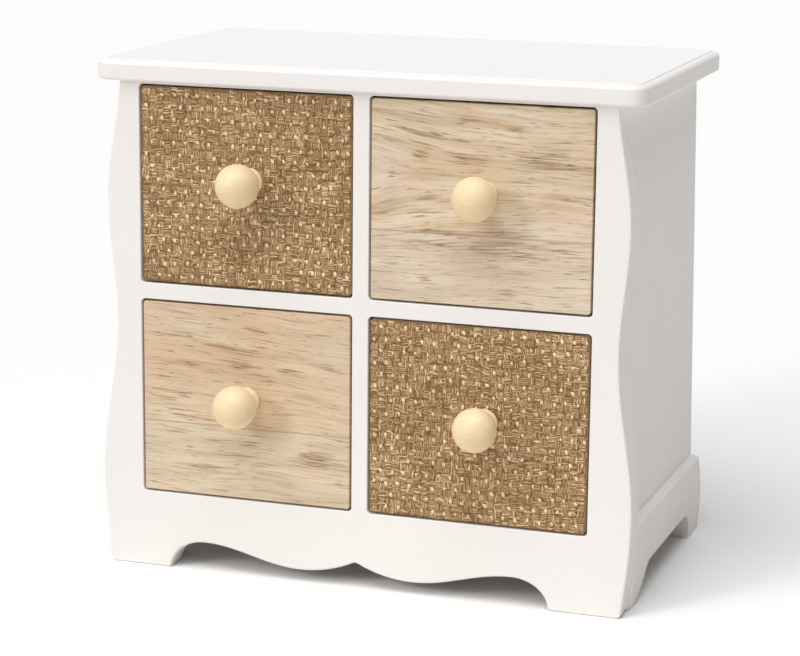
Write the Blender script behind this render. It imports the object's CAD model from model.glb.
"""A small lacquered chest of four drawers: its finishes, eased edges, woven fronts and turned knobs.

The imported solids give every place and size. Sizes here are in millimetres until MM turns them to metres.
"""
import math
import random

import bpy
import numpy as np
from mathutils import Matrix, Vector


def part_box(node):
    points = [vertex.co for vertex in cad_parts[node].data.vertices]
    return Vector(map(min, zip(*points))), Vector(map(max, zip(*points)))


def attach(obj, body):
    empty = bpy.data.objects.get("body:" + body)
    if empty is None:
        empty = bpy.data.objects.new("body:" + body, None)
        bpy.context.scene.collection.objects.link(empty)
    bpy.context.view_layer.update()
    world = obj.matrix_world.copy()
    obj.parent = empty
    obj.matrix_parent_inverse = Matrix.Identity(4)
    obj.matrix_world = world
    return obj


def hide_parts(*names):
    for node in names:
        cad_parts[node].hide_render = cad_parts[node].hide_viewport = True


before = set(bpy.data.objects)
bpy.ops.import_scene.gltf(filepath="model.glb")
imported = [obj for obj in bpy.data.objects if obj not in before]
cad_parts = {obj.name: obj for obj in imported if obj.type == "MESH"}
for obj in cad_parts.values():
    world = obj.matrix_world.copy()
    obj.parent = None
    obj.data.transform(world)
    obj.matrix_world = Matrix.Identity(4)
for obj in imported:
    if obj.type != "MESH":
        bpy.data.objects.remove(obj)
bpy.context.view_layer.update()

MM = 0.001
DRAWERS = ("upper_left", "upper_right", "lower_left", "lower_right")
# The drawers with a woven front, each with the seed of its random draws
WEAVE_SEEDS = {"upper_left": 11, "lower_right": 12}


# ---------------------------------------------------------------- measures taken from the solids

def centre(node):
    """The middle of a solid's box."""
    low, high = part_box(node)
    return (low + high) / 2


FACE_LOW, FACE_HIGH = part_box("face_frame")
CROSSING = Vector((0, FACE_LOW.y, centre("shelf").z))


# ---------------------------------------------------------------- camera

# The photograph's view: turned to the right of the front, looking a little down, held slightly off level.
# The camera's place is given from the crossing of the shelf and the divider, on the face board's front.
PHOTO_WIDTH = 800
FOCAL_PIXELS = 2586.7
SENSOR_WIDTH = 36
NEAREST_DRAWN = 50
CAMERA_TURN = math.radians(18.82)
CAMERA_DROP = math.radians(12.44)
CAMERA_ROLL = math.radians(0.54)
CAMERA_FROM_CROSSING = Vector((370.1, -1032.1, 233.0)) * MM


def photo_camera():
    """The scene's one camera, with the photograph's lens and place."""
    lens = bpy.data.cameras.new("photo_lens")
    lens.sensor_fit = "HORIZONTAL"
    lens.sensor_width = SENSOR_WIDTH
    lens.lens = FOCAL_PIXELS / PHOTO_WIDTH * SENSOR_WIDTH
    lens.clip_start = NEAREST_DRAWN * MM
    camera = bpy.data.objects.new("photo_camera", lens)
    turn = Matrix.Rotation(CAMERA_TURN, 4, "Z")
    tilt = Matrix.Rotation(math.pi / 2 - CAMERA_DROP, 4, "X")
    roll = Matrix.Rotation(CAMERA_ROLL, 4, "Z")
    camera.matrix_world = Matrix.Translation(CROSSING + CAMERA_FROM_CROSSING) @ turn @ tilt @ roll
    bpy.context.scene.collection.objects.link(camera)
    bpy.context.scene.camera = camera


photo_camera()


# ---------------------------------------------------------------- nodes

def linear(colour):
    """An sRGB hex colour as linear red, green, blue and alpha."""
    parts = [int(colour[i:i + 2], 16) / 255 for i in (1, 3, 5)]
    return tuple(c / 12.92 if c <= 0.04045 else ((c + 0.055) / 1.055) ** 2.4 for c in parts) + (1.0,)


def add(tree, kind, inputs=None, stops=(), **settings):
    """Adds a node with its settings and links.

    An input is a value, a hex colour, a node, which gives its first output in use, or one output of a node.
    Its key is the input's name, or its number where names repeat. Stops are the places and colours of a
    colour ramp.
    """
    node = tree.nodes.new("ShaderNode" + kind)
    for key, value in settings.items():
        setattr(node, key, value)
    for number, (position, colour) in enumerate(stops):
        elements = node.color_ramp.elements
        element = elements[number] if number < len(elements) else elements.new(1.0)
        element.position = position
        element.color = linear(colour)
    for key, value in (inputs or {}).items():
        socket = node.inputs[key]
        if isinstance(key, str):
            socket = next(s for s in node.inputs if s.name == key and s.enabled)
        if isinstance(value, bpy.types.Node):
            value = next(s for s in value.outputs if s.enabled)
        if isinstance(value, bpy.types.NodeSocket):
            tree.links.new(value, socket)
        else:
            socket.default_value = linear(value) if isinstance(value, str) else value
    return node


def new_material(name):
    """A new material and its node tree, still empty."""
    made = bpy.data.materials.new(name)
    made.use_nodes = True
    made.node_tree.nodes.clear()
    return made, made.node_tree


def millimetres(tree, origin=(0, 0, 0)):
    """The place on the chest, in millimetres from a point that is given in metres."""
    place = add(tree, "TexCoord").outputs["Object"]
    return add(tree, "Mapping", {
        "Vector": place, "Location": origin, "Scale": (MM, MM, MM)}, vector_type="TEXTURE")


# ---------------------------------------------------------------- lacquer, plywood, steel and knob wood

# On a cut edge of plywood a pale and a dark ply make one wave; each is about this thick
PLY_THICKNESS = 1.2


def white_lacquer():
    """Satin lacquer sprayed on fibreboard: a soft white, little gloss and the spray gun's faint ripple."""
    made, tree = new_material("sprayed_white_lacquer")
    place = millimetres(tree)
    cloud = add(tree, "TexNoise", {"Vector": place, "Scale": 1 / 60})
    colour = add(tree, "ValToRGB", {"Fac": cloud}, stops=((0.3, "#F1EFEE"), (0.7, "#F3F1F1")))
    ripple = add(tree, "TexNoise", {"Vector": place, "Scale": 1 / 2.5, "Detail": 1.0})
    relief = add(tree, "Bump", {"Height": ripple, "Distance": 0.01 * MM})
    shader = add(tree, "BsdfPrincipled", {
        "Base Color": colour, "Normal": relief, "Roughness": 0.42, "IOR": 1.5, "Specular IOR Level": 0.3})
    add(tree, "OutputMaterial", {"Surface": shader})
    return made


def birch_ply(name, layers, grain):
    """Rotary-cut birch plywood, sanded and left bare: long soft grain on its faces, thin plies on its edges.

    layers is the direction across the plies, grain the direction along the fibres.
    """
    made, tree = new_material(name)
    place = millimetres(tree)
    stretch = tuple(0.03 if axis == grain else 0.9 for axis in "XYZ")
    drawn_out = add(tree, "Mapping", {"Vector": place, "Scale": stretch})
    fibres = add(tree, "TexNoise", {"Vector": drawn_out, "Detail": 3.0, "Scale": 1.0})
    faces = add(tree, "ValToRGB", {"Fac": fibres}, stops=((0.3, "#D0B183"), (0.7, "#E8D2A9")))
    turned = {"X": (0, 0, 0), "Y": (0, 0, math.pi / 2), "Z": (0, math.pi / 2, 0)}[layers]
    across = add(tree, "Mapping", {"Vector": place, "Rotation": turned})
    plies = add(tree, "TexWave", {"Vector": across, "Scale": 1 / (PLY_THICKNESS * 2 * math.pi)},
                bands_direction="X")
    edges = add(tree, "ValToRGB", {"Fac": plies}, stops=(
        (0.1, "#B08A58"), (0.35, "#E0C698"), (0.9, "#EAD5AE")))
    colour = add(tree, "Mix", {"Factor": 0.55, "A": faces, "B": edges},
                 data_type="RGBA", blend_type="MULTIPLY")
    relief = add(tree, "Bump", {"Height": fibres, "Distance": 0.03 * MM})
    shader = add(tree, "BsdfPrincipled", {
        "Base Color": colour, "Normal": relief, "Roughness": 0.62, "IOR": 1.5, "Specular IOR Level": 0.3})
    add(tree, "OutputMaterial", {"Surface": shader})
    return made


def zinc_plate():
    """Bright zinc plating on small steel screws and brads: cool grey with a fine mottle."""
    made, tree = new_material("zinc_plated_steel")
    mottle = add(tree, "TexNoise", {"Vector": millimetres(tree), "Scale": 3.0, "Detail": 3.0})
    colour = add(tree, "ValToRGB", {"Fac": mottle}, stops=((0.35, "#9EA0A3"), (0.65, "#B9BBBE")))
    shader = add(tree, "BsdfPrincipled", {"Base Color": colour, "Metallic": 1.0, "Roughness": 0.36})
    add(tree, "OutputMaterial", {"Surface": shader})
    return made


def knob_wood():
    """Pale fine-grained wood turned on a lathe, under clear satin lacquer: creamy, its grain barely shows."""
    made, tree = new_material("turned_pale_wood")
    place = millimetres(tree)
    drawn_out = add(tree, "Mapping", {"Vector": place, "Scale": (0.06, 0.9, 0.9)})
    fibres = add(tree, "TexNoise", {"Vector": drawn_out, "Detail": 4.0, "Scale": 1.0})
    grain = add(tree, "ValToRGB", {"Fac": fibres}, stops=((0.3, "#EDD1A3"), (0.7, "#F6E0BA")))
    cloud = add(tree, "TexNoise", {"Vector": place, "Scale": 1 / 9})
    patches = add(tree, "ValToRGB", {"Fac": cloud}, stops=((0.3, "#EFD5AB"), (0.7, "#F8E5C2")))
    colour = add(tree, "Mix", {"Factor": 0.5, "A": grain, "B": patches}, data_type="RGBA")
    relief = add(tree, "Bump", {"Height": fibres, "Distance": 0.01 * MM})
    shader = add(tree, "BsdfPrincipled", {
        "Base Color": colour, "Normal": relief, "Roughness": 0.45, "IOR": 1.5, "Specular IOR Level": 0.4,
        "Coat Weight": 0.2, "Coat Roughness": 0.35})
    add(tree, "OutputMaterial", {"Surface": shader})
    return made


# ---------------------------------------------------------------- the two wooden fronts' board

# Marks in the wood, each an oval where streaks gather: its middle to the right and up from the middle of the
# front, its half length and half height, its tilt in degrees and its strength
UPPER_MARKS = (
    (-33, 31, 18, 1.6, -13, 0.9), (-21, 29.5, 7, 2.6, -12, 0.9), (-8, 27, 9, 3.2, -4, 0.7),
    (-27, 20.5, 5, 3.6, 25, 0.9), (-39, 12.5, 9, 3.0, 15, 0.8), (-7, 20, 16, 4.5, -4, 0.6),
    (-8, 36, 8, 2.6, -2, 0.5), (30, 20, 26, 6.5, -3, 0.9), (14, 34, 9, 2.6, -3, 0.7),
    (17, 11, 9, 2.4, 0, 0.6), (38, 5, 14, 3.0, -2, 0.5), (-24, 1.5, 9, 2.6, 8, 0.6),
    (-26, -4, 8, 2.4, 4, 0.6), (-18, -12.5, 22, 2.2, -2, 0.8), (10, -11, 20, 1.8, 1, 0.8),
    (-24, -33, 6, 2.2, -6, 0.7), (11, -37, 8, 2.0, 2, 0.8), (32, -37, 9, 1.8, -3, 0.5),
    (20, -18, 40, 6.0, 0, 0.55), (-22, -18, 30, 4.5, -1, 0.5),
)
LOWER_MARKS = (
    (-26, 37, 9, 2.6, 0, 0.5), (6, 33.5, 8, 1.5, -5, 0.9), (37, 34, 8, 1.5, 1, 0.8),
    (-8, 25, 18, 2.4, -5, 0.8), (-34, 29, 16, 2.2, -3, 0.6), (0, 17.5, 11, 4.0, -5, 0.8),
    (20, 16.5, 8, 2.2, 4, 0.7), (40, 20, 8, 3.6, -3, 0.6), (-24, 16, 20, 2.6, -8, 0.6),
    (11, 11.5, 7, 1.4, -3, 0.9), (-30, 2, 9, 2.2, -5, 0.8), (-22, -8, 22, 3.6, -4, 0.5),
    (-23, -31, 12, 2.4, -5, 0.6), (34, -23, 14, 4.6, 2, 1.0), (-3, -24, 8, 2.0, 2, 0.6),
    (2, -18, 6, 1.4, 2, 0.7),
)

# Paler patches of sapwood, written in the same way
UPPER_PALE = (
    (32, -9, 34, 6, -1, 1.0), (14, -8, 14, 4, 0, 0.7), (-42, 16, 16, 13, 20, 0.8), (20, 3, 16, 6, 4, 0.5),
    (-30, 0, 22, 7, -6, 0.6), (-28, -29, 30, 7, 0, 0.7), (28, -38, 28, 8, -3, 0.8),
)
LOWER_PALE = (
    (-28, 34, 26, 8, -6, 0.6), (40, 26, 16, 14, 0, 0.7), (-36, -10, 24, 8, -4, 0.8),
    (-14, -34, 34, 9, 3, 0.8), (28, -12, 20, 6, -2, 0.5),
)

# Tones of the upper and the lower stave, from dark to light at BAND_STEPS of the bands, and of the sapwood
UPPER_TINTS = {
    "upper": ("#CBB08F", "#E0CCB2", "#EEE2D0"), "lower": ("#D2BFAB", "#E0D0BF", "#EBDFD2"), "pale": "#EDE3D4"}
LOWER_TINTS = {
    "upper": ("#D5B899", "#DFC6AA", "#E7D2B9"), "lower": ("#D0BEA5", "#DDCDB5", "#E5D9C6"), "pale": "#E8DCC8"}
BAND_STEPS = (0.32, 0.5, 0.68)

# A thin glue line runs between the staves: its colour and strength, and how far from its middle it is at its
# full strength and out of sight. The staves' tones change over within STAVE_CHANGE of it.
GLUE_COLOUR = "#8A7156"
GLUE_STRENGTH = 0.5
GLUE_FULL = 0.1
GLUE_GONE = 0.6
STAVE_CHANGE = 0.3

# Layers of streaks, from broad smudges over brown streaks to open pores: their length, thickness, the noise's
# start and detail, how much a mark adds to it, where it starts to show and where it shows in full, how
# strongly, and its colour. Real pores and fibres are 0.2 mm thick or less, which is too fine to show, so they
# are drawn coarser.
STREAK_LAYERS = (
    (30, 2.6, 7.7, 1.5, 0.26, 0.54, 0.78, 0.5, "#AA9072"),
    (20, 0.75, 2.9, 2.0, 0.2, 0.585, 0.68, 0.65, "#99774F"),
    (8, 0.55, 9.4, 1.0, 0.13, 0.64, 0.73, 0.65, "#735A44"),
)

# The grain drifts up and down by DRIFT every DRIFT_LENGTH or so, its streaks reach INTO_BOARD deep, and the
# lower stave's grain comes from another part of the noise. FAR is farther than anything in the chest.
DRIFT = 5.0
DRIFT_LENGTH = 40
INTO_BOARD = 60
OTHER_STAVE = (137, 0, 53)
FAR = 1000


def ovals(tree, place, marks):
    """How strongly marks or patches show at a place: 0 away from all of them."""
    total = 0.0
    for x, z, length, height, tilt, strength in marks:
        near = add(tree, "Mapping", {
            "Vector": place, "Location": (x, 0, z), "Rotation": (0, -math.radians(tilt), 0),
            "Scale": (length, FAR, height)}, vector_type="TEXTURE")
        oval = add(tree, "TexGradient", {"Vector": near}, gradient_type="SPHERICAL")
        total = add(tree, "Math", {0: oval.outputs["Fac"], 1: strength, 2: total}, operation="MULTIPLY_ADD")
    return total


def drawn_streaks(tree, grain, length, thickness, start, detail):
    """Noise drawn out along the grain: streaks of about this length and thickness.

    start moves the noise along, so that each layer has streaks of its own.
    """
    drawn_out = add(tree, "Mapping", {
        "Vector": grain, "Location": (start, 0, start * 1.7),
        "Scale": (1 / length, 1 / INTO_BOARD, 1 / thickness)})
    return add(tree, "TexNoise", {"Vector": drawn_out, "Scale": 1.0, "Detail": detail})


def flow_round(tree, place, knot):
    """The place along and across the grain, which drifts a little and flows round a knot."""
    knot_x, knot_z, knot_r = knot
    from_knot = add(tree, "VectorMath", {0: place, 1: (knot_x, 0, knot_z)}, operation="SUBTRACT")
    parts = add(tree, "SeparateXYZ", {"Vector": from_knot})
    square = add(tree, "VectorMath", {0: from_knot, 1: from_knot}, operation="DOT_PRODUCT")
    widened = add(tree, "Math", {0: square, 1: knot_r ** 2}, operation="ADD")
    share = add(tree, "Math", {0: square, 1: widened}, operation="DIVIDE")
    squeezed = add(tree, "Math", {0: parts.outputs["Z"], 1: share}, operation="MULTIPLY")
    drift = add(tree, "TexNoise", {"Vector": place, "Scale": 1 / DRIFT_LENGTH, "Detail": 0.0})
    wavy = add(tree, "Math", {0: drift, 1: DRIFT, 2: squeezed}, operation="MULTIPLY_ADD")
    return add(tree, "CombineXYZ", {"X": parts.outputs["X"], "Z": wavy})


def glued_staves(tree, place, glue_line):
    """0 in the upper stave and 1 in the lower one, and how strongly the glue line between them shows."""
    height = add(tree, "SeparateXYZ", {"Vector": place}).outputs["Z"]
    lower = add(tree, "MapRange", {
        "Value": height, "From Min": glue_line + STAVE_CHANGE, "From Max": glue_line - STAVE_CHANGE})
    above_line = add(tree, "Math", {0: height, 1: glue_line}, operation="SUBTRACT")
    from_line = add(tree, "Math", {0: above_line}, operation="ABSOLUTE")
    joint = add(tree, "MapRange", {
        "Value": from_line, "From Min": GLUE_GONE, "From Max": GLUE_FULL, "To Max": GLUE_STRENGTH})
    return lower, joint


def oiled_board(name, middle, start, knot, slope, glue_line, tints, marks, pale):
    """Glued rubberwood board wiped with oil: tan staves with brown streaks, smudges and short dark pores.

    Places are given from middle, the middle of the front. start moves the noise along; knot is the place and
    the radius of a knot that the grain flows round; slope is the grain's turn in radians; glue_line is the
    height of the joint between the two staves.
    """
    made, tree = new_material(name)
    place = millimetres(tree, middle)
    lower, joint = glued_staves(tree, place, glue_line)
    aside = add(tree, "VectorMath", {0: OTHER_STAVE, "Scale": lower}, operation="SCALE")
    flow = add(tree, "VectorMath", {0: flow_round(tree, place, knot), 1: aside}, operation="ADD")
    grain = add(tree, "Mapping", {"Vector": flow, "Rotation": (0, slope, 0), "Location": (start, 0, start)})

    bands = drawn_streaks(tree, grain, length=60, thickness=5.0, start=1.3, detail=3.0)
    upper_tone = add(tree, "ValToRGB", {"Fac": bands}, stops=tuple(zip(BAND_STEPS, tints["upper"])))
    lower_tone = add(tree, "ValToRGB", {"Fac": bands}, stops=tuple(zip(BAND_STEPS, tints["lower"])))
    tone = add(tree, "Mix", {"Factor": lower, "A": upper_tone, "B": lower_tone}, data_type="RGBA")
    sapwood = ovals(tree, place, pale)
    tone = add(tree, "Mix", {"Factor": sapwood, "A": tone, "B": tints["pale"]}, data_type="RGBA")
    tone = add(tree, "Mix", {"Factor": joint, "A": tone, "B": GLUE_COLOUR}, data_type="RGBA")
    cloud = add(tree, "TexNoise", {"Vector": flow, "Scale": 1 / 16, "Detail": 2.0})
    cast = add(tree, "ValToRGB", {"Fac": cloud}, stops=(
        (0.35, "#F6F4EA"), (0.5, "#FBF7F0"), (0.65, "#FEF4EC")))
    tone = add(tree, "Mix", {"Factor": 1.0, "A": tone, "B": cast}, data_type="RGBA", blend_type="MULTIPLY")
    fibres = drawn_streaks(tree, grain, length=26, thickness=0.55, start=4.1, detail=2.5)
    fine = add(tree, "ValToRGB", {"Fac": fibres}, stops=(
        (0.3, "#AC967C"), (0.5, "#D8C8B1"), (0.7, "#F3E9DC")))
    tone = add(tree, "Mix", {"Factor": 0.24, "A": tone, "B": fine}, data_type="RGBA")

    gather = ovals(tree, place, marks)
    for length, thickness, first, detail, gain, faint, full, depth, colour in STREAK_LAYERS:
        streaks = drawn_streaks(tree, grain, length, thickness, first, detail)
        raised = add(tree, "Math", {0: gather, 1: gain, 2: streaks}, operation="MULTIPLY_ADD")
        shown = add(tree, "MapRange", {"Value": raised, "From Min": faint, "From Max": full, "To Max": depth},
                    interpolation_type="SMOOTHSTEP")
        tone = add(tree, "Mix", {"Factor": shown, "A": tone, "B": colour}, data_type="RGBA")

    # The last layer, the pores, is sunk a little as well
    pores = add(tree, "Bump", {"Height": shown, "Distance": -0.05 * MM})
    shader = add(tree, "BsdfPrincipled", {
        "Base Color": tone, "Normal": pores, "Roughness": 0.55, "IOR": 1.5, "Specular IOR Level": 0.3})
    add(tree, "OutputMaterial", {"Surface": shader})
    return made


# ---------------------------------------------------------------- the woven fronts' fibre

# Each face of a woven front has a tone, about 0 for dark and 1 for pale: the ground's, the limits of the
# strands', their mean and spread, and the least and the most of the binders' and of the knots'
GROUND_TONE = 0.05
DARKEST_STRAND = 0.12
PALEST_STRAND = 0.6
STRAND_TONE = (0.36, 0.1)
BINDER_TONES = (0.36, 0.48)
KNOT_TONES = (0.76, 1.05)


def plaited_fibre():
    """Plaited bast and paper cord over a dark ground: thin strands, each of its own brown, and pale knots."""
    made, tree = new_material("plaited_plant_fibre")
    tone = add(tree, "Attribute", attribute_name="tone").outputs["Fac"]
    drawn_out = add(tree, "Mapping", {"Vector": add(tree, "UVMap"), "Scale": (0.8, 7.0, 1.0)})
    fibres = add(tree, "TexNoise", {"Vector": drawn_out, "Scale": 1.0, "Detail": 2.0})
    mottle = add(tree, "TexNoise", {"Vector": millimetres(tree), "Scale": 1 / 0.9, "Detail": 1.0})
    uneven = add(tree, "Math", {0: fibres, 1: 0.16, 2: tone}, operation="MULTIPLY_ADD")
    uneven = add(tree, "Math", {0: mottle, 1: 0.5, 2: uneven}, operation="MULTIPLY_ADD")
    colour = add(tree, "ValToRGB", {"Fac": uneven}, stops=(
        (0.25, "#5C4225"), (0.46, "#A5845A"), (0.74, "#CDAE84"), (0.93, "#F8E4C2")))
    patch = add(tree, "TexNoise", {"Vector": millimetres(tree), "Scale": 1 / 18, "Detail": 1.0})
    ageing = add(tree, "ValToRGB", {"Fac": patch}, stops=((0.35, "#D9CCC0"), (0.65, "#FFFFFF")))
    colour = add(tree, "Mix", {"Factor": 0.6, "A": colour, "B": ageing},
                 data_type="RGBA", blend_type="MULTIPLY")
    relief = add(tree, "Bump", {"Height": fibres, "Distance": 0.04 * MM})
    shader = add(tree, "BsdfPrincipled", {
        "Base Color": colour, "Normal": relief, "Roughness": 0.7, "IOR": 1.45, "Specular IOR Level": 0.25,
        "Sheen Weight": 0.1})
    add(tree, "OutputMaterial", {"Surface": shader})
    return made


# ---------------------------------------------------------------- modelling helpers

# Points within WELD of each other are one point, and sides within FLAT degrees of each other are one side.
# Edges sharper than SHARP degrees are rounded, and those sharper than CREASE are not shaded smooth.
WELD = 0.002
FLAT = 0.2
SHARP = 30
CREASE = 40


def deselect():
    """Leaves a piece's edit mode and deselects everything."""
    if bpy.context.object and bpy.context.object.mode != "OBJECT":
        bpy.ops.object.mode_set(mode="OBJECT")
    bpy.ops.object.select_all(action="DESELECT")


def make_active(piece):
    """Makes a piece the active one and the only selected one."""
    deselect()
    piece.select_set(True)
    bpy.context.view_layer.objects.active = piece


def welded_copy(node, name):
    """A copy of a solid as a piece of its own: its loose triangles joined, its flat sides whole again."""
    piece = bpy.data.objects.new(name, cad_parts[node].data.copy())
    bpy.context.scene.collection.objects.link(piece)
    make_active(piece)
    bpy.ops.object.mode_set(mode="EDIT")
    bpy.ops.mesh.select_all(action="SELECT")
    bpy.ops.mesh.remove_doubles(threshold=WELD * MM)
    bpy.ops.mesh.dissolve_limited(angle_limit=math.radians(FLAT))
    bpy.ops.object.mode_set(mode="OBJECT")
    if piece.data.has_custom_normals:
        bpy.ops.mesh.customdata_custom_splitnormals_clear()
    return piece


def edge_angles(mesh):
    """The angle between the two faces of each edge, in the edges' order; open edges count as flat."""
    faces = {}
    for face in mesh.polygons:
        for key in face.edge_keys:
            faces.setdefault(key, []).append(face.normal)
    pairs = [faces.get(edge.key, ()) for edge in mesh.edges]
    return [pair[0].angle(pair[1], 0.0) if len(pair) == 2 else 0.0 for pair in pairs]


def ease_edges(piece, radius, segments):
    """Rounds the sharp edges; radius(middle, direction) gives each edge's own radius in millimetres."""
    mesh = piece.data
    widths = []
    for edge, angle in zip(mesh.edges, edge_angles(mesh)):
        a, b = (mesh.vertices[i].co for i in edge.vertices)
        sharp = angle > math.radians(SHARP)
        widths.append(radius((a + b) / 2, (b - a).normalized()) if sharp else 0.0)
    widest = max(widths)
    weight = mesh.attributes.new("bevel_weight_edge", "FLOAT", "EDGE")
    weight.data.foreach_set("value", [w / widest for w in widths])
    make_active(piece)
    bevel = piece.modifiers.new("rounding", "BEVEL")
    bevel.limit_method = "WEIGHT"
    bevel.width = widest * MM
    bevel.segments = segments
    bevel.use_clamp_overlap = False
    bevel.miter_outer = "MITER_ARC"
    bpy.ops.object.modifier_apply(modifier=bevel.name)
    smooth(piece)


def smooth(piece):
    """Smooth shading that leaves the flat sides flat."""
    make_active(piece)
    bpy.ops.object.shade_smooth_by_angle(angle=math.radians(CREASE))
    weighted = piece.modifiers.new("flat_sides", "WEIGHTED_NORMAL")
    weighted.keep_sharp = True
    weighted.weight = 100
    bpy.ops.object.modifier_apply(modifier=weighted.name)


def finish(piece, made, body, slot, *nodes):
    """Gives a piece its finish and its place in the chest."""
    piece.data.materials.clear()
    piece.data.materials.append(made)
    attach(piece, body)
    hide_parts(*nodes)


def dress(node, made):
    """A solid whose shape is right gets its finish."""
    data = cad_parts[node].data
    data.materials.clear()
    data.materials.append(made)


# ---------------------------------------------------------------- case

# How far each kind of edge is rounded. The face board's curved sides start SIDE_CURVE_FROM from its middle,
# and its window edges lie within WINDOW_RIM of a drawer front. Edges lower than SOLE are those of the feet's
# soles, and an edge within NEAR of the board's front or top lies on it.
EASE_FACE_SIDE = 1.0
EASE_APRON = 1.1
EASE_FOOT = 1.2
EASE_FOOT_CORNER = 2.2
EASE_WINDOW = 0.45
EASE_BACK = 0.3
EASE_UNDER_TOP = 0.05
WINDOW_RIM = 2.5
SIDE_CURVE_FROM = 110
SOLE = 1
NEAR = 0.5
EASE_BOARDS = {
    "top_board": 0.25, "left_side_panel": 0.3, "right_side_panel": 0.3, "left_plinth": 0.4,
    "right_plinth": 0.4, "shelf": 0.3, "divider": 0.3, "floor_board": 0.3, "back_panel": 0.3,
}


def face_board(made):
    """The face board: its curved sides and its apron softly rounded, its windows just broken."""
    piece = welded_copy("face_frame", "face_board_lacquered")
    windows = [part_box(drawer + "_front") for drawer in DRAWERS]
    rim = WINDOW_RIM * MM

    def radius(at, along):
        across_thickness = abs(along.y) > 0.5
        at_side = abs(at.x) > SIDE_CURVE_FROM * MM
        if at.y > FACE_LOW.y + NEAR * MM and not across_thickness:
            return EASE_BACK
        if any(w[0].x - rim < at.x < w[1].x + rim and w[0].z - rim < at.z < w[1].z + rim for w in windows):
            return EASE_WINDOW
        if at.z > FACE_HIGH.z - NEAR * MM:
            return EASE_UNDER_TOP
        if across_thickness:
            return EASE_FOOT_CORNER if at_side else EASE_FOOT
        if at_side and at.z > FACE_LOW.z + SOLE * MM:
            return EASE_FACE_SIDE
        return EASE_APRON

    ease_edges(piece, radius, segments=4)
    finish(piece, made, "case", "white_lacquer", "face_frame")


def case_boards(made):
    """The other lacquered boards of the case."""
    for node, ease in EASE_BOARDS.items():
        piece = welded_copy(node, node + "_lacquered")
        ease_edges(piece, lambda at, along, r=ease: r, segments=3)
        finish(piece, made, "case", "white_lacquer", node)


# ---------------------------------------------------------------- drawers

EASE_FRONT = 0.4
EASE_BOX = 0.35

# The knob's radii and heights above the front: its base with a rounded-over rim, its neck, the ball whose
# middle stands BALL_HEIGHT out, and the mark that the lathe's centre leaves in the nose, each step of which
# lies so far in from the mark's edge and so deep. Its points within TURNED_WELD are one, and its edges
# sharper than TURNED_CREASE degrees are not shaded smooth.
BASE_R = 6.0
RIM_HEIGHT = 1.6
RIM_EDGE = 0.3
NECK_R = 4.0
BALL_R = 9.6
BALL_HEIGHT = 15.0
MARK_R = 0.7
MARK_STEPS = ((0.25, 0.07), (0.5, 0.16), (0.7, 0.18))
COVE_STEPS = 6
BALL_STEPS = 30
TURNED_SIDES = 72
TURNED_WELD = 0.01
TURNED_CREASE = 50


def wooden_front(drawer, made):
    """The wooden board of a front, its edges just broken."""
    piece = welded_copy(drawer + "_front", drawer + "_front_oiled")
    ease_edges(piece, lambda at, along: EASE_FRONT, segments=3)
    finish(piece, made, drawer + "_drawer", "front_wood", drawer + "_front")


def drawer_box(drawer, plies):
    """The box of plain plywood behind a front, its edges sanded."""
    for part, made in plies.items():
        node = drawer + "_" + part
        piece = welded_copy(node, node + "_sanded")
        ease_edges(piece, lambda at, along: EASE_BOX, segments=2)
        finish(piece, made, drawer + "_drawer", "plywood", node)


def knob_profile():
    """Radius and height above the front, from the middle of the base round to the mark in the nose."""
    points = [(0, 0), (BASE_R - RIM_EDGE, 0), (BASE_R, RIM_EDGE), (BASE_R, RIM_HEIGHT - RIM_EDGE),
              (BASE_R - RIM_EDGE, RIM_HEIGHT)]
    cove = BASE_R - NECK_R
    for i in range(1, COVE_STEPS + 1):
        turn = math.radians(90 * i / COVE_STEPS)
        points.append((BASE_R - RIM_EDGE - (cove - RIM_EDGE) * math.sin(turn),
                       RIM_HEIGHT + cove * (1 - math.cos(turn))))
    start = math.asin(NECK_R / BALL_R)
    end = math.pi - math.asin(MARK_R / BALL_R)
    for i in range(BALL_STEPS + 1):
        turn = start + (end - start) * i / BALL_STEPS
        points.append((BALL_R * math.sin(turn), BALL_HEIGHT - BALL_R * math.cos(turn)))
    tip = BALL_HEIGHT + BALL_R
    return points + [(MARK_R - inset, tip - depth) for inset, depth in MARK_STEPS]


def knob(drawer, made):
    """A ball knob turned in one piece with its neck and base."""
    node = drawer + "_knob"
    low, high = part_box(node)
    axis_x = (low.x + high.x) / 2
    axis_z = (low.z + high.z) / 2
    profile = [(axis_x + r * MM, high.y - h * MM, axis_z) for r, h in knob_profile()]
    mesh = bpy.data.meshes.new(node + "_turned")
    mesh.from_pydata(profile, [(i, i + 1) for i in range(len(profile) - 1)], [])
    piece = bpy.data.objects.new(node + "_turned", mesh)
    bpy.context.scene.collection.objects.link(piece)
    make_active(piece)
    bpy.ops.object.mode_set(mode="EDIT")
    bpy.ops.mesh.select_all(action="SELECT")
    bpy.ops.mesh.spin(steps=TURNED_SIDES, angle=2 * math.pi, center=(axis_x, high.y, axis_z), axis=(0, 1, 0))
    bpy.ops.mesh.select_all(action="SELECT")
    bpy.ops.mesh.remove_doubles(threshold=TURNED_WELD * MM)
    bpy.ops.mesh.normals_make_consistent(inside=False)
    bpy.ops.object.mode_set(mode="OBJECT")
    bpy.ops.object.shade_smooth_by_angle(angle=math.radians(TURNED_CREASE))
    finish(piece, made, drawer + "_drawer", "knob_wood", node)


# ---------------------------------------------------------------- woven fronts

# A bundle is square and holds STRANDS strands side by side. Knots stand in rows, KNOT_STEP apart; the first
# one of a row stands KNOT_START of a step in, and none comes nearer to the sheet's side than KNOT_MARGIN.
BUNDLE = 3.35
STRANDS = 4
STRAND_R = 0.36
BINDER_R = 0.24
KNOT_STEP = 5.5
KNOT_START = 0.35
KNOT_MARGIN = 0.4
KNOT_LENGTH = 2.1
KNOT_WIDTH = 1.45
KNOT_HEIGHT = 0.45

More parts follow.
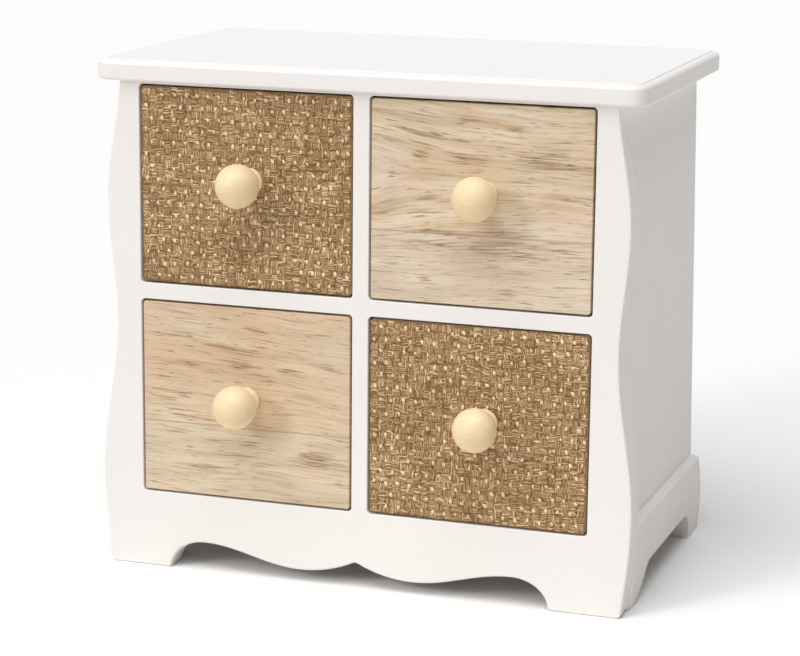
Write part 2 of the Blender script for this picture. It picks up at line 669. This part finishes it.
# Shares of the bundles that lie out of turn, of strands that are missing, of bundles with a binder across
# their end and of knots that are missing
OUT_OF_TURN = 0.2
MISSING_STRANDS = 0.02
BOUND = 0.3
MISSING_KNOTS = 0.1

# How the handwork varies. A pair is the least and the most; lengths, widths and sizes are shares of the usual
# ones, and STRAND_ASIDE is a share of a strand's place in its bundle. Turns are in radians, but KNOT_TURN, a
# mean and a spread, is in degrees.
BUNDLE_STRAY = 0.5
BUNDLE_BOW = 0.35
BUNDLE_TURN = 0.1
STRAND_ASIDE = 0.2
STRAND_ALONG = 0.3
STRAND_LENGTHS = (0.95, 1.4)
STRAND_WIDTHS = (0.85, 1.1)
STRAND_TURN = 0.06
STRAND_LIFTS = (-0.35, -0.1)
STRAND_DIPS = (0.3, 0.5)
STRAND_BOW = 0.1
BINDER_ALONG = 0.4
BINDER_ASIDE = 0.8
BINDER_LENGTHS = (0.6, 1.6)
BINDER_TURN = 0.09
BINDER_LIFT = 0.12
BINDER_DIP = 0.25
BINDER_BOW = 0.3
KNOT_ASIDE = 0.3
KNOT_UP = 0.35
KNOT_SIZES = (0.75, 1.1)
KNOT_TURN = (108, 17)
KNOT_LIFT = 0.2

# The weave lies on a level WEAVE_LEVEL behind the cover's outer side, over a ground that is sunk by a share,
# GROUND_SUNK, of the cover's thickness
WEAVE_LEVEL = 0.35
GROUND_SUNK = 0.55


def take_shape(move):
    """The vertices and faces of the primitive just made, its vertices moved by a rule, for copying."""
    mesh = bpy.context.object.data
    points = np.array([move(*vertex.co) for vertex in mesh.vertices], float)
    faces = [tuple(face.vertices) for face in mesh.polygons]
    bpy.data.objects.remove(bpy.context.object)
    return points, faces


def strand_shape():
    """One strand, 1 long and of half width 1: a strip raised to a half round."""
    deselect()
    bpy.ops.mesh.primitive_grid_add(x_subdivisions=4, y_subdivisions=3, size=2)
    return take_shape(lambda x, y, z: (x / 2, math.sin(y * math.pi / 2), math.cos(y * math.pi / 2)))


def knot_shape():
    """One knot, 1 long, of width 1 and height 1: a low dome."""
    deselect()
    bpy.ops.mesh.primitive_circle_add(vertices=8, radius=1, fill_type="NOTHING")
    bpy.ops.object.mode_set(mode="EDIT")
    bpy.ops.mesh.select_all(action="SELECT")
    for rise, narrowed in ((0.7, 0.8), (0.3, 0.5)):
        bpy.ops.mesh.extrude_region_move(TRANSFORM_OT_translate={"value": (0, 0, rise)})
        bpy.ops.transform.resize(value=(narrowed, narrowed, 1))
    bpy.ops.mesh.edge_face_add()
    bpy.ops.mesh.select_all(action="SELECT")
    bpy.ops.mesh.normals_make_consistent(inside=False)
    bpy.ops.object.mode_set(mode="OBJECT")
    return take_shape(lambda x, y, z: (x / 2, y / 2, z))


class WovenSheet:
    """A basket weave: copies of a strand and of a knot, each with a tone of its own.

    Small bundles of strands lie upright and level by turns, a thin pale binder crosses the ends of many of
    them, and rows of pale knots stand over them.
    """

    def __init__(self, width, height, seed):
        self.width = width
        self.height = height
        self.dice = random.Random(seed)
        self.strand = strand_shape()
        self.knot = knot_shape()
        self.points = []
        self.faces = []
        self.tones = []
        self.uvs = []
        self.count = 0
        self.lay_bundles()
        self.lay_knots()

    def lay(self, shape, middle, turn, size, lift, dip, tone, bow=0.0):
        """Copies a shape to a place on the sheet.

        size is its length, width and height, lift how high it lies, dip how far its ends bend down, and bow
        how far its middle bends aside.
        """
        points, faces = shape
        along, across, up = (points * size).T
        across = across + bow * (1 - np.square(points[:, 0] * 2))
        x = middle[0] + along * math.cos(turn) - across * math.sin(turn)
        z = middle[1] + along * math.sin(turn) + across * math.cos(turn)
        bend = dip * np.abs(points[:, 0] * 2) ** 3
        self.points.append(np.column_stack((x, lift + up - bend, z)))
        self.uvs.append(np.column_stack((along, across)))
        self.faces += [tuple(i + self.count for i in face) for face in faces]
        self.tones += [tone] * len(faces)
        self.count += len(points)

    def lay_bundles(self):
        """Bundles all over the sheet, upright and level by turns, some of them bound by a binder."""
        dice = self.dice
        columns = round(self.width / BUNDLE)
        rows = round(self.height / BUNDLE)
        cell = np.array((self.width / columns, self.height / rows))
        for column in range(columns):
            for row in range(rows):
                upright = (column + row) % 2 == 0
                if dice.random() < OUT_OF_TURN:
                    upright = not upright
                middle = (np.array((column, row)) + 0.5) * cell - np.array((self.width, self.height)) / 2
                middle += [dice.uniform(-BUNDLE_STRAY, BUNDLE_STRAY) for _ in range(2)]
                bow = dice.gauss(0, BUNDLE_BOW)
                along = 1 if upright else 0
                turn = math.pi / 2 * along + dice.gauss(0, BUNDLE_TURN)
                self.lay_strands(cell, middle, along, turn, bow)
                if dice.random() < BOUND:
                    self.lay_binder(cell, middle, along, turn)

    def lay_strands(self, cell, middle, along, turn, bow):
        """One bundle; along is the axis that its strands follow, 0 for level and 1 for upright."""
        dice = self.dice
        for i in range(STRANDS):
            if dice.random() < MISSING_STRANDS:
                continue
            at = middle.copy()
            place = i + 0.5 + dice.uniform(-STRAND_ASIDE, STRAND_ASIDE)
            at[1 - along] += cell[1 - along] * (place / STRANDS - 0.5)
            at[along] += dice.uniform(-STRAND_ALONG, STRAND_ALONG)
            long = cell[along] * dice.uniform(*STRAND_LENGTHS)
            tone = min(PALEST_STRAND, max(DARKEST_STRAND, dice.gauss(*STRAND_TONE)))
            size = (long, STRAND_R * dice.uniform(*STRAND_WIDTHS), STRAND_R)
            self.lay(self.strand, at, turn + dice.gauss(0, STRAND_TURN), size,
                     lift=dice.uniform(*STRAND_LIFTS), dip=dice.uniform(*STRAND_DIPS), tone=tone,
                     bow=bow + dice.gauss(0, STRAND_BOW))

    def lay_binder(self, cell, middle, along, turn):
        """A thin pale strand across one end of a bundle."""
        dice = self.dice
        at = middle.copy()
        at[along] += cell[along] / 2 * dice.choice((-1, 1)) + dice.uniform(-BINDER_ALONG, BINDER_ALONG)
        at[1 - along] += dice.uniform(-BINDER_ASIDE, BINDER_ASIDE)
        size = (cell[1 - along] * dice.uniform(*BINDER_LENGTHS), BINDER_R, BINDER_R)
        self.lay(self.strand, at, turn + math.pi / 2 + dice.gauss(0, BINDER_TURN), size, lift=BINDER_LIFT,
                 dip=BINDER_DIP, tone=dice.uniform(*BINDER_TONES), bow=dice.gauss(0, BINDER_BOW))

    def lay_knots(self):
        """Rows of knots, every other row half a step aside."""
        dice = self.dice
        rows = round(self.height / KNOT_STEP)
        columns = round(self.width / KNOT_STEP)
        for row in range(rows):
            for column in range(columns):
                if dice.random() < MISSING_KNOTS:
                    continue
                step = column + KNOT_START + 0.5 * (row % 2)
                at = (step * self.width / columns - self.width / 2 + dice.gauss(0, KNOT_ASIDE),
                      (row + 0.5) * self.height / rows - self.height / 2 + dice.gauss(0, KNOT_UP))
                if abs(at[0]) > self.width / 2 - KNOT_MARGIN:
                    continue
                grown = dice.uniform(*KNOT_SIZES)
                turn = math.radians(dice.gauss(*KNOT_TURN))
                self.lay(self.knot, at, turn, (KNOT_LENGTH * grown, KNOT_WIDTH * grown, KNOT_HEIGHT),
                         lift=KNOT_LIFT, dip=0, tone=dice.uniform(*KNOT_TONES))


def strands_piece(name, sheet, origin):
    """A sheet's strands and knots as one piece, trimmed at the sheet's edges, its tones and UVs with it."""
    edge = np.array((sheet.width / 2 + STRAND_R, FAR, sheet.height / 2 + STRAND_R))
    points = np.clip(np.concatenate(sheet.points), -edge, edge) * (1, -1, 1) + (0, WEAVE_LEVEL, 0)
    points = points * MM + origin
    mesh = bpy.data.meshes.new(name)
    mesh.from_pydata(points.tolist(), [], sheet.faces)
    tones = mesh.attributes.new("tone", "FLOAT", "FACE")
    tones.data.foreach_set("value", sheet.tones)
    layer = mesh.uv_layers.new(name="UVMap")
    order = np.zeros(len(mesh.loops), np.int32)
    mesh.loops.foreach_get("vertex_index", order)
    layer.data.foreach_set("uv", np.concatenate(sheet.uvs)[order].astype(np.float32).ravel())
    piece = bpy.data.objects.new(name, mesh)
    bpy.context.scene.collection.objects.link(piece)
    make_active(piece)
    bpy.ops.object.shade_smooth()
    return piece


def woven_front(drawer, made, seed):
    """The woven cover of a front: strands and knots over a thin ground, all trimmed flush with the front."""
    node = drawer + "_woven_cover"
    low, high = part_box(node)
    middle = (low + high) / 2
    ground = welded_copy(node, drawer + "_woven_front")
    for vertex in ground.data.vertices:
        if vertex.co.y < middle.y:
            vertex.co.y += GROUND_SUNK * (high.y - low.y)
    tones = ground.data.attributes.new("tone", "FLOAT", "FACE")
    tones.data.foreach_set("value", [GROUND_TONE] * len(ground.data.polygons))
    width = (high.x - low.x) / MM - 2 * STRAND_R
    height = (high.z - low.z) / MM - 2 * STRAND_R
    sheet = WovenSheet(width, height, seed)
    strands = strands_piece(drawer + "_strands", sheet, (middle.x, low.y, middle.z))
    make_active(ground)
    strands.select_set(True)
    bpy.ops.object.join()
    finish(ground, made, drawer + "_drawer", "weave", node)


# ---------------------------------------------------------------- building

lacquer = white_lacquer()
steel = zinc_plate()
pale_wood = knob_wood()
fibre = plaited_fibre()
# The dowels are out of sight in their holes, so the plywood's tones do for their beech
dowel_wood = birch_ply("turned_beech_dowels", "X", "Z")
side_ply = birch_ply("birch_ply_sides", "X", "Y")
box_ply = {
    "side_left": side_ply, "side_right": side_ply,
    "back": birch_ply("birch_ply_back", "Y", "X"), "bottom": birch_ply("birch_ply_bottom", "Z", "X"),
}
upper_wood = oiled_board("oiled_board_upper", centre("upper_right_front"), start=3.1, knot=(-54, 12, 16),
                         slope=0.0, glue_line=-13, tints=UPPER_TINTS, marks=UPPER_MARKS, pale=UPPER_PALE)
lower_wood = oiled_board("oiled_board_lower", centre("lower_left_front"), start=17.4, knot=(-130, 30, 30),
                         slope=-0.055, glue_line=-11, tints=LOWER_TINTS, marks=LOWER_MARKS, pale=LOWER_PALE)

face_board(lacquer)
case_boards(lacquer)
dress("back_brads", steel)
dress("top_dowels", dowel_wood)
dress("face_dowels", dowel_wood)
# The boards behind the two woven fronts hardly show, so they are of the lower front's wood
for drawer in DRAWERS:
    wooden_front(drawer, upper_wood if drawer == "upper_right" else lower_wood)
    drawer_box(drawer, box_ply)
    knob(drawer, pale_wood)
    dress(drawer + "_knob_screw", steel)
for drawer, seed in WEAVE_SEEDS.items():
    woven_front(drawer, fibre, seed)


# ---------------------------------------------------------------- floor and light

FLOOR_SIZE = 12000


def seen_directly(tree):
    """1 for what the camera sees itself, in a gloss or through glass, 0 for soft light."""
    path = add(tree, "LightPath")
    straight = add(tree, "Math", {0: path.outputs["Is Camera Ray"], 1: path.outputs["Is Glossy Ray"]},
                   operation="MAXIMUM")
    return add(tree, "Math", {0: straight, 1: path.outputs["Is Transmission Ray"]}, operation="MAXIMUM")


def studio_floor():
    """A wide sheet of matt white paper, white where nothing shades it."""
    made, tree = new_material("matt_white_paper")
    cloud = add(tree, "TexNoise", {"Vector": millimetres(tree), "Scale": 1 / 200})
    matt = add(tree, "ValToRGB", {"Fac": cloud}, stops=((0.3, "#F4F0E9"), (0.7, "#F7F3EC")))
    colour = add(tree, "Mix", {"Factor": seen_directly(tree), "A": matt, "B": "#FFFFFF"}, data_type="RGBA")
    shader = add(tree, "BsdfPrincipled", {"Base Color": colour, "Roughness": 0.9, "Specular IOR Level": 0.0})
    add(tree, "OutputMaterial", {"Surface": shader})
    deselect()
    bpy.ops.mesh.primitive_plane_add(size=FLOOR_SIZE * MM, location=(0, 0, 0))
    plane = bpy.context.object
    plane.name = "studio_floor"
    plane.data.materials.append(made)


def sky(strength):
    """Even pale light from all round, and a white background for what the camera sees."""
    world = bpy.data.worlds.new("studio")
    bpy.context.scene.world = world
    world.use_nodes = True
    tree = world.node_tree
    tree.nodes.clear()
    even = add(tree, "Background", {"Color": "#FFFDFB", "Strength": strength})
    white = add(tree, "Background", {"Color": "#FFFFFF", "Strength": 1.0})
    mixed = add(tree, "MixShader", {0: seen_directly(tree), 1: even, 2: white})
    add(tree, "OutputWorld", {"Surface": mixed})


def lamp(name, turn, height, strength, spread, colour):
    """A far, wide light.

    turn is its direction seen from above, from the front towards the left, height its angle above the floor
    and spread its width, all in degrees.
    """
    light = bpy.data.lights.new(name, "SUN")
    light.energy = strength
    light.angle = math.radians(spread)
    light.color = linear(colour)[:3]
    holder = bpy.data.objects.new(name, light)
    aim = Matrix.Rotation(math.radians(-turn), 4, "Z") @ Matrix.Rotation(math.radians(90 - height), 4, "X")
    holder.matrix_world = aim
    bpy.context.scene.collection.objects.link(holder)


bpy.context.scene.view_settings.view_transform = "Standard"
studio_floor()
sky(strength=0.1)
lamp("left_light", turn=34, height=26, strength=0.88, spread=16, colour="#FFFDFA")
lamp("high_light", turn=6, height=70, strength=2.56, spread=54, colour="#FEFEFF")
